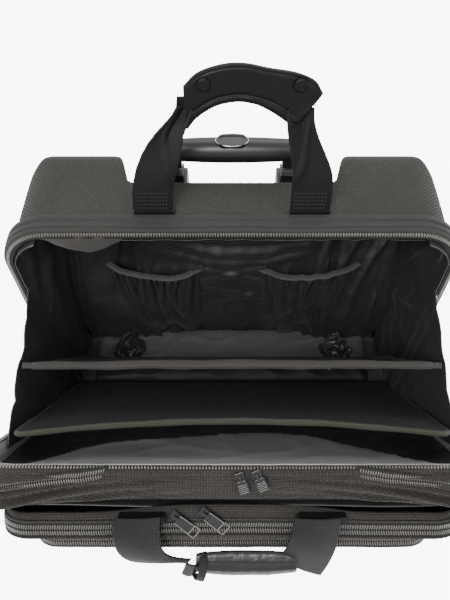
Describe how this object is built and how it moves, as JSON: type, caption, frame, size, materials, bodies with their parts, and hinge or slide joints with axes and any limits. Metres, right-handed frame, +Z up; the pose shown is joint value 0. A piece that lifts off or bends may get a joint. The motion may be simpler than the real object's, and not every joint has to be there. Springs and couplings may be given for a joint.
{
  "type": "rolling flight case",
  "caption": "Upright wheeled case with a moulded rear shell, a hinged cloth front that drops open, padded dividers, carry handles and a pull-out trolley handle.",
  "frame": {"origin": "on the floor, under the middle of the open case's overall box", "axes": "+X to the case's left as seen from behind, +Y to the rear where the wheels are, +Z up"},
  "size_m": [0.4546, 0.4062, 0.4825],
  "materials": {
    "ballistic_cloth": "coarse dark grey-olive weave",
    "band_cloth": "ribbed band",
    "lining_cloth": "slightly shiny nylon",
    "binding_cloth": "ribbed binding",
    "webbing": "ribbed satin webbing",
    "leather": "smooth grained",
    "moulded_shell": "moulded sheet under coarse weave",
    "black_plastic": "fine matt",
    "zip_plastic": "matt",
    "black_metal": "semi-gloss black",
    "tube_alloy": "satin",
    "steel": "satin",
    "tyre_rubber": "matt",
    "foot_rubber": "matt"
  },
  "bodies": {
    "rear_case": {"shell": "moulded_shell", "rear_zip_band": "band_cloth", "rear_zip_teeth": "zip_plastic", "main_sliders": "black_metal", "lining": "lining_cloth", "floor_pad": "lining_cloth", "cloth_hinge": "ballistic_cloth", "back_pocket_left": "lining_cloth", "back_pocket_right": "lining_cloth", "back_pocket_centre": "lining_cloth", "gusset_left": "lining_cloth", "gusset_right": "lining_cloth", "outer_tubes": "black_metal", "tube_foot": "black_plastic", "handle_bezel": "black_plastic", "back_cover": "ballistic_cloth", "trolley_screws": "steel", "rear_strap_anchors": "webbing", "wheel_housings": "black_plastic", "axles": "steel", "front_feet": "foot_rubber"},
    "left_wheel": {"hub_left": "black_plastic", "tyre_left": "tyre_rubber", "bearings_left": "steel"},
    "right_wheel": {"hub_right": "black_plastic", "tyre_right": "tyre_rubber", "bearings_right": "steel"},
    "trolley_lower_stage": {"middle_tubes": "tube_alloy", "middle_collars": "black_plastic"},
    "trolley_upper_stage": {"inner_tubes": "tube_alloy", "inner_plugs": "black_plastic", "trolley_grip": "black_plastic", "button_spring": "steel"},
    "trolley_release": {"release_button": "black_plastic", "release_rods": "steel"},
    "rear_divider_panel": {"rear_divider": "lining_cloth", "rear_divider_edge": "binding_cloth"},
    "front_divider_panel": {"front_divider": "lining_cloth", "front_divider_edge": "binding_cloth"},
    "rear_handle": {"rear_strap_left": "webbing", "rear_strap_right": "webbing", "rear_grip": "leather", "grip_snaps": "black_metal"},
    "front_half": {"front_section": "ballistic_cloth", "front_zip_band": "band_cloth", "front_zip_teeth": "zip_plastic", "expansion_zip": "zip_plastic", "organiser_pocket": "lining_cloth", "zipped_pocket": "ballistic_cloth", "pocket_zip": "zip_plastic", "low_pocket": "ballistic_cloth", "front_strap_anchors": "webbing"},
    "expansion_pull_left": {"expansion_slider_left": "black_metal"},
    "expansion_pull_right": {"expansion_slider_right": "black_metal"},
    "pocket_pull_left": {"pocket_slider_left": "black_metal"},
    "pocket_pull_right": {"pocket_slider_right": "black_metal"},
    "front_handle": {"front_strap_left": "webbing", "front_strap_right": "webbing", "front_grip": "leather"}
  },
  "joints": [
    {"name": "front_close", "type": "hinge", "parent": "rear_case", "child": "front_half", "pos_m": [0, 0.02969, 0.034], "axis": [-1, 0, 0], "range_deg": [0, 38], "deforming": ["gusset_left", "gusset_right"]},
    {"name": "rear_divider_fold", "type": "hinge", "parent": "rear_case", "child": "rear_divider_panel", "pos_m": [0, 0.08569, 0.047], "axis": [-1, 0, 0], "range_deg": [0, 26.05]},
    {"name": "front_divider_fold", "type": "hinge", "parent": "rear_case", "child": "front_divider_panel", "pos_m": [0, 0.05569, 0.047], "axis": [-1, 0, 0], "range_deg": [0, 33.05]},
    {"name": "left_wheel_turn", "type": "hinge", "parent": "rear_case", "child": "left_wheel", "pos_m": [-0.172, 0.16769, 0.034], "axis": [1, 0, 0], "continuous": true},
    {"name": "right_wheel_turn", "type": "hinge", "parent": "rear_case", "child": "right_wheel", "pos_m": [0.172, 0.16769, 0.034], "axis": [1, 0, 0], "continuous": true},
    {"name": "trolley_lower_slide", "type": "slide", "parent": "rear_case", "child": "trolley_lower_stage", "axis": [0, 0, 1], "range_m": [0, 0.23]},
    {"name": "trolley_upper_slide", "type": "slide", "parent": "trolley_lower_stage", "child": "trolley_upper_stage", "axis": [0, 0, 1], "range_m": [0, 0.23]},
    {"name": "button_press", "type": "slide", "parent": "trolley_upper_stage", "child": "trolley_release", "axis": [0, 0, -1], "range_m": [0, 0.004], "stiffness_N_per_m": 400, "springref_m": -0.002, "deforming": ["button_spring"]},
    {"name": "rear_handle_fold", "type": "hinge", "parent": "rear_case", "child": "rear_handle", "pos_m": [0, 0.10269, 0.3545], "axis": [1, 0, 0], "range_deg": [0, 40]},
    {"name": "front_handle_lift", "type": "hinge", "parent": "front_half", "child": "front_handle", "pos_m": [0, -0.16698, 0.28897], "axis": [-1, 0, 0], "range_deg": [0, 100]},
    {"name": "expansion_left_slide", "type": "slide", "parent": "front_half", "child": "expansion_pull_left", "axis": [-1, 0, 0], "range_m": [0, 0.14]},
    {"name": "expansion_right_slide", "type": "slide", "parent": "front_half", "child": "expansion_pull_right", "axis": [1, 0, 0], "range_m": [0, 0.1]},
    {"name": "pocket_left_slide", "type": "slide", "parent": "front_half", "child": "pocket_pull_left", "axis": [-1, 0, 0], "range_m": [0, 0.1]},
    {"name": "pocket_right_slide", "type": "slide", "parent": "front_half", "child": "pocket_pull_right", "axis": [1, 0, 0], "range_m": [0, 0.14]}
  ],
  "couplings": [
    {"joint": "rear_divider_fold", "follows": "front_close", "ratio": 0.68421},
    {"joint": "front_divider_fold", "follows": "front_close", "ratio": 0.86842}
  ]
}
